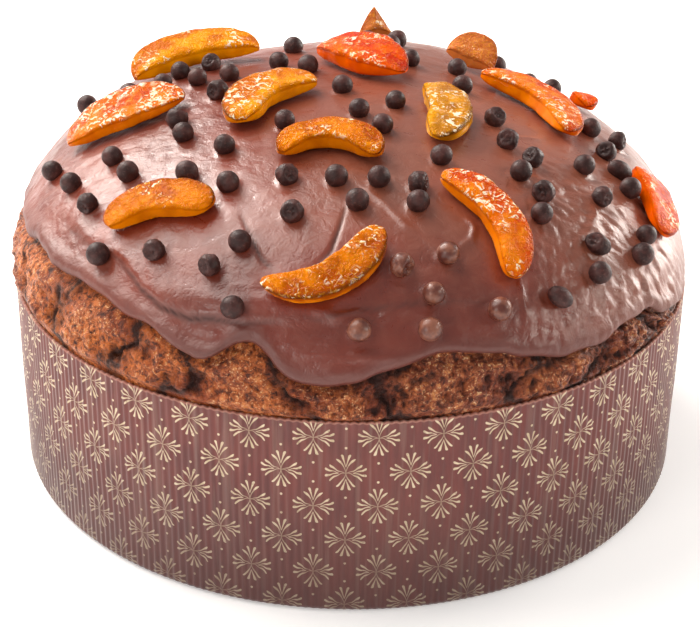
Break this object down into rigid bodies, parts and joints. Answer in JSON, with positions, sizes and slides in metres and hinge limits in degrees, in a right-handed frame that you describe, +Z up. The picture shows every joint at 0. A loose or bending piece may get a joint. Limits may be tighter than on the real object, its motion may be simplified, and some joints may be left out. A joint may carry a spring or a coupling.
{
  "type": "chocolate panettone",
  "caption": "Low round chocolate panettone in a printed paper baking case, glazed on its domed top, with small chocolate pearls and slices of candied orange.",
  "frame": {"origin": "middle of the paper case's foot, on the surface that it stands on", "axes": "+Z up, -Y towards the side that the picture shows, +X to the right seen from there"},
  "size_m": [0.2163, 0.2204, 0.1296],
  "materials": {
    "printed_paper": "matt printed corrugated paper",
    "chocolate_crust": "rough baked crust",
    "milk_chocolate": "satin milk chocolate glaze",
    "candied_orange": "wet, glossy and translucent"
  },
  "bodies": {
    "root": {"paper_case": "printed_paper", "loaf": "chocolate_crust", "glaze": "milk_chocolate", "orange_01": "candied_orange", "orange_02": "candied_orange", "orange_03": "candied_orange", "orange_04": "candied_orange", "orange_05": "candied_orange", "orange_06": "candied_orange", "orange_07": "candied_orange", "orange_08": "candied_orange", "orange_09": "candied_orange", "orange_10": "candied_orange", "orange_11": "candied_orange", "orange_12": "candied_orange", "orange_13": "candied_orange", "orange_14": "candied_orange"}
  },
  "joints": []
}
